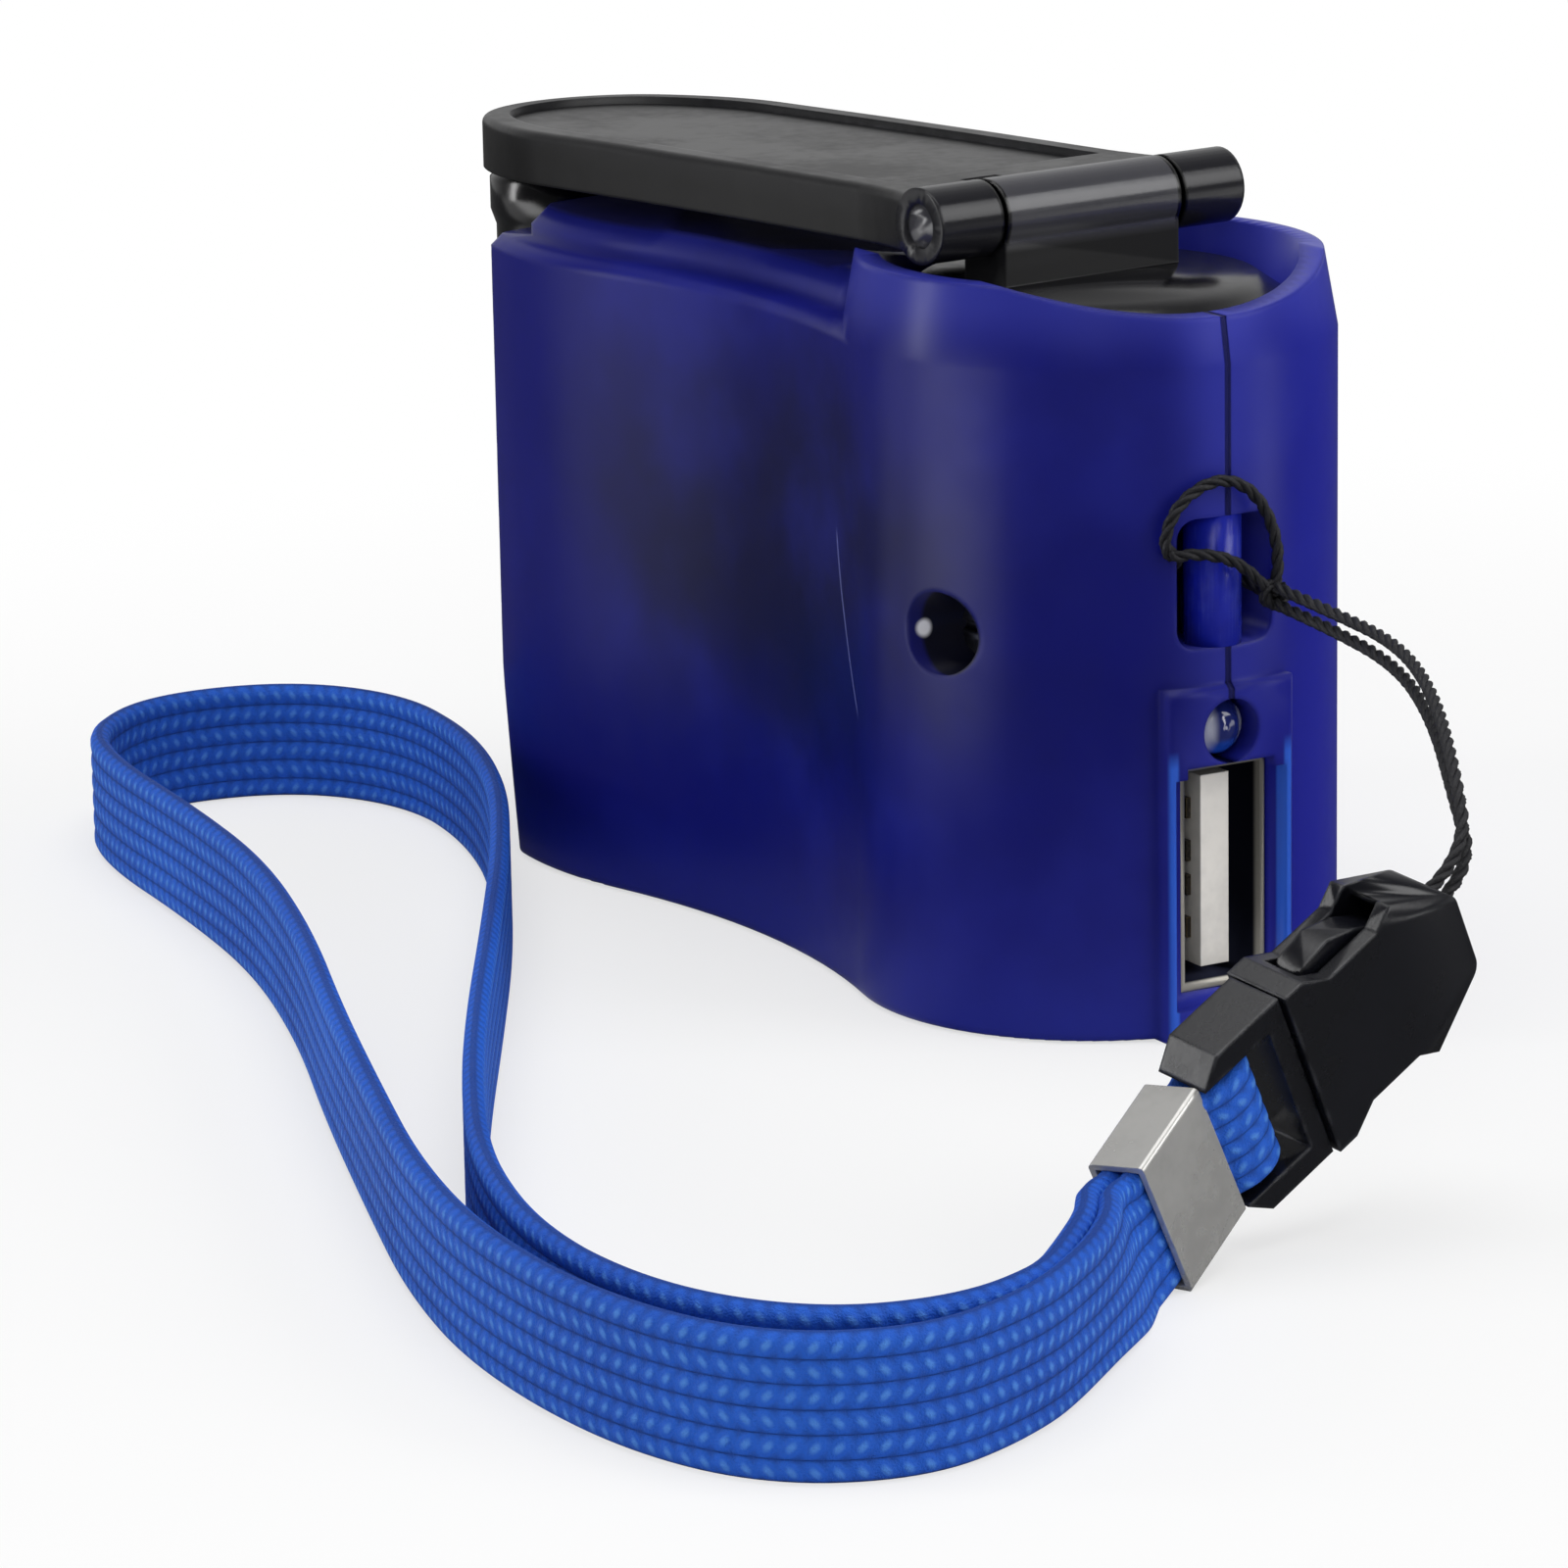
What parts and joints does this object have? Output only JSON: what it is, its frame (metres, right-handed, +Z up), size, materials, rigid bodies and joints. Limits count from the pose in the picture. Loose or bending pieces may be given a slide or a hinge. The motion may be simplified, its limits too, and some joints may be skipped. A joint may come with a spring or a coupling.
{
  "type": "hand crank phone charger",
  "caption": "Hand crank phone charger: waisted two-part housing with a port, folding crank arm with a turning grip, geared generator inside, wrist strap with buckle on a string.",
  "frame": {"origin": "where the crank's axis meets the base", "axes": "+Z up along the crank's axis, +X towards the round end with the port, +Y away from the case screw"},
  "size_m": [0.1353, 0.0788, 0.048],
  "materials": {
    "housing": "glossy deep blue, slightly see-through",
    "arm": "satin dark grey",
    "hub": "glossy black",
    "gear": "natural white moulding",
    "inner": "matt black",
    "steel": "plain steel",
    "brass": "plain brass",
    "tongue": "white",
    "contact": "plated contact",
    "lamp": "clear",
    "board": "green board",
    "strap": "ribbed royal blue webbing",
    "crimp": "bright folded sheet",
    "buckle": "satin black",
    "string": "waxed black string"
  },
  "bodies": {
    "housing": {"housing_near_half": "housing", "housing_far_half": "housing", "idler_axle": "steel", "generator_can": "steel", "generator_cap": "gear", "gear_plate": "inner", "port_shell": "steel", "port_tongue": "tongue", "port_contact_1": "contact", "port_contact_2": "contact", "port_contact_3": "contact", "port_contact_4": "contact", "charge_lamp": "lamp", "circuit_board": "board", "storage_capacitor": "inner", "case_screw": "steel", "lanyard_post": "housing", "strap_loop": "strap", "strap_end_outer": "strap", "strap_end_inner": "strap", "strap_tab": "strap", "strap_crimp": "crimp", "buckle_socket": "buckle", "buckle_plug": "buckle", "string_noose": "string", "string_knot": "string", "string_upper": "string", "string_lower": "string"},
    "crank": {"turntable": "hub", "crank_gear": "gear", "gear_washer": "steel"},
    "arm": {"crank_arm": "arm", "hinge_pin": "steel", "grip_pin": "steel"},
    "grip": {"grip": "arm"},
    "idler": {"idler_gear": "gear"},
    "rotor": {"rotor_pinion": "brass", "rotor_core": "steel", "rotor_shaft": "steel"}
  },
  "joints": [
    {"name": "crank_spin", "type": "hinge", "parent": "housing", "child": "crank", "pos_m": [0, 0, 0.04], "axis": [0, 0, 1], "continuous": true},
    {"name": "arm_fold", "type": "hinge", "parent": "crank", "child": "arm", "pos_m": [-0.00149, -0.00016, 0.0454], "axis": [-0.1045, 0.9945, 0], "range_deg": [0, 180]},
    {"name": "grip_spin", "type": "hinge", "parent": "arm", "child": "grip", "pos_m": [-0.05311, -0.00558, 0.034], "axis": [0, 0, 1], "continuous": true},
    {"name": "idler_spin", "type": "hinge", "parent": "housing", "child": "idler", "pos_m": [-0.0162, 0, 0.03], "axis": [0, 0, 1], "continuous": true},
    {"name": "rotor_spin", "type": "hinge", "parent": "housing", "child": "rotor", "pos_m": [-0.0288, 0, 0.02], "axis": [0, 0, 1], "continuous": true}
  ],
  "couplings": [
    {"joint": "idler_spin", "follows": "crank_spin", "ratio": -2},
    {"joint": "rotor_spin", "follows": "crank_spin", "ratio": 5}
  ]
}
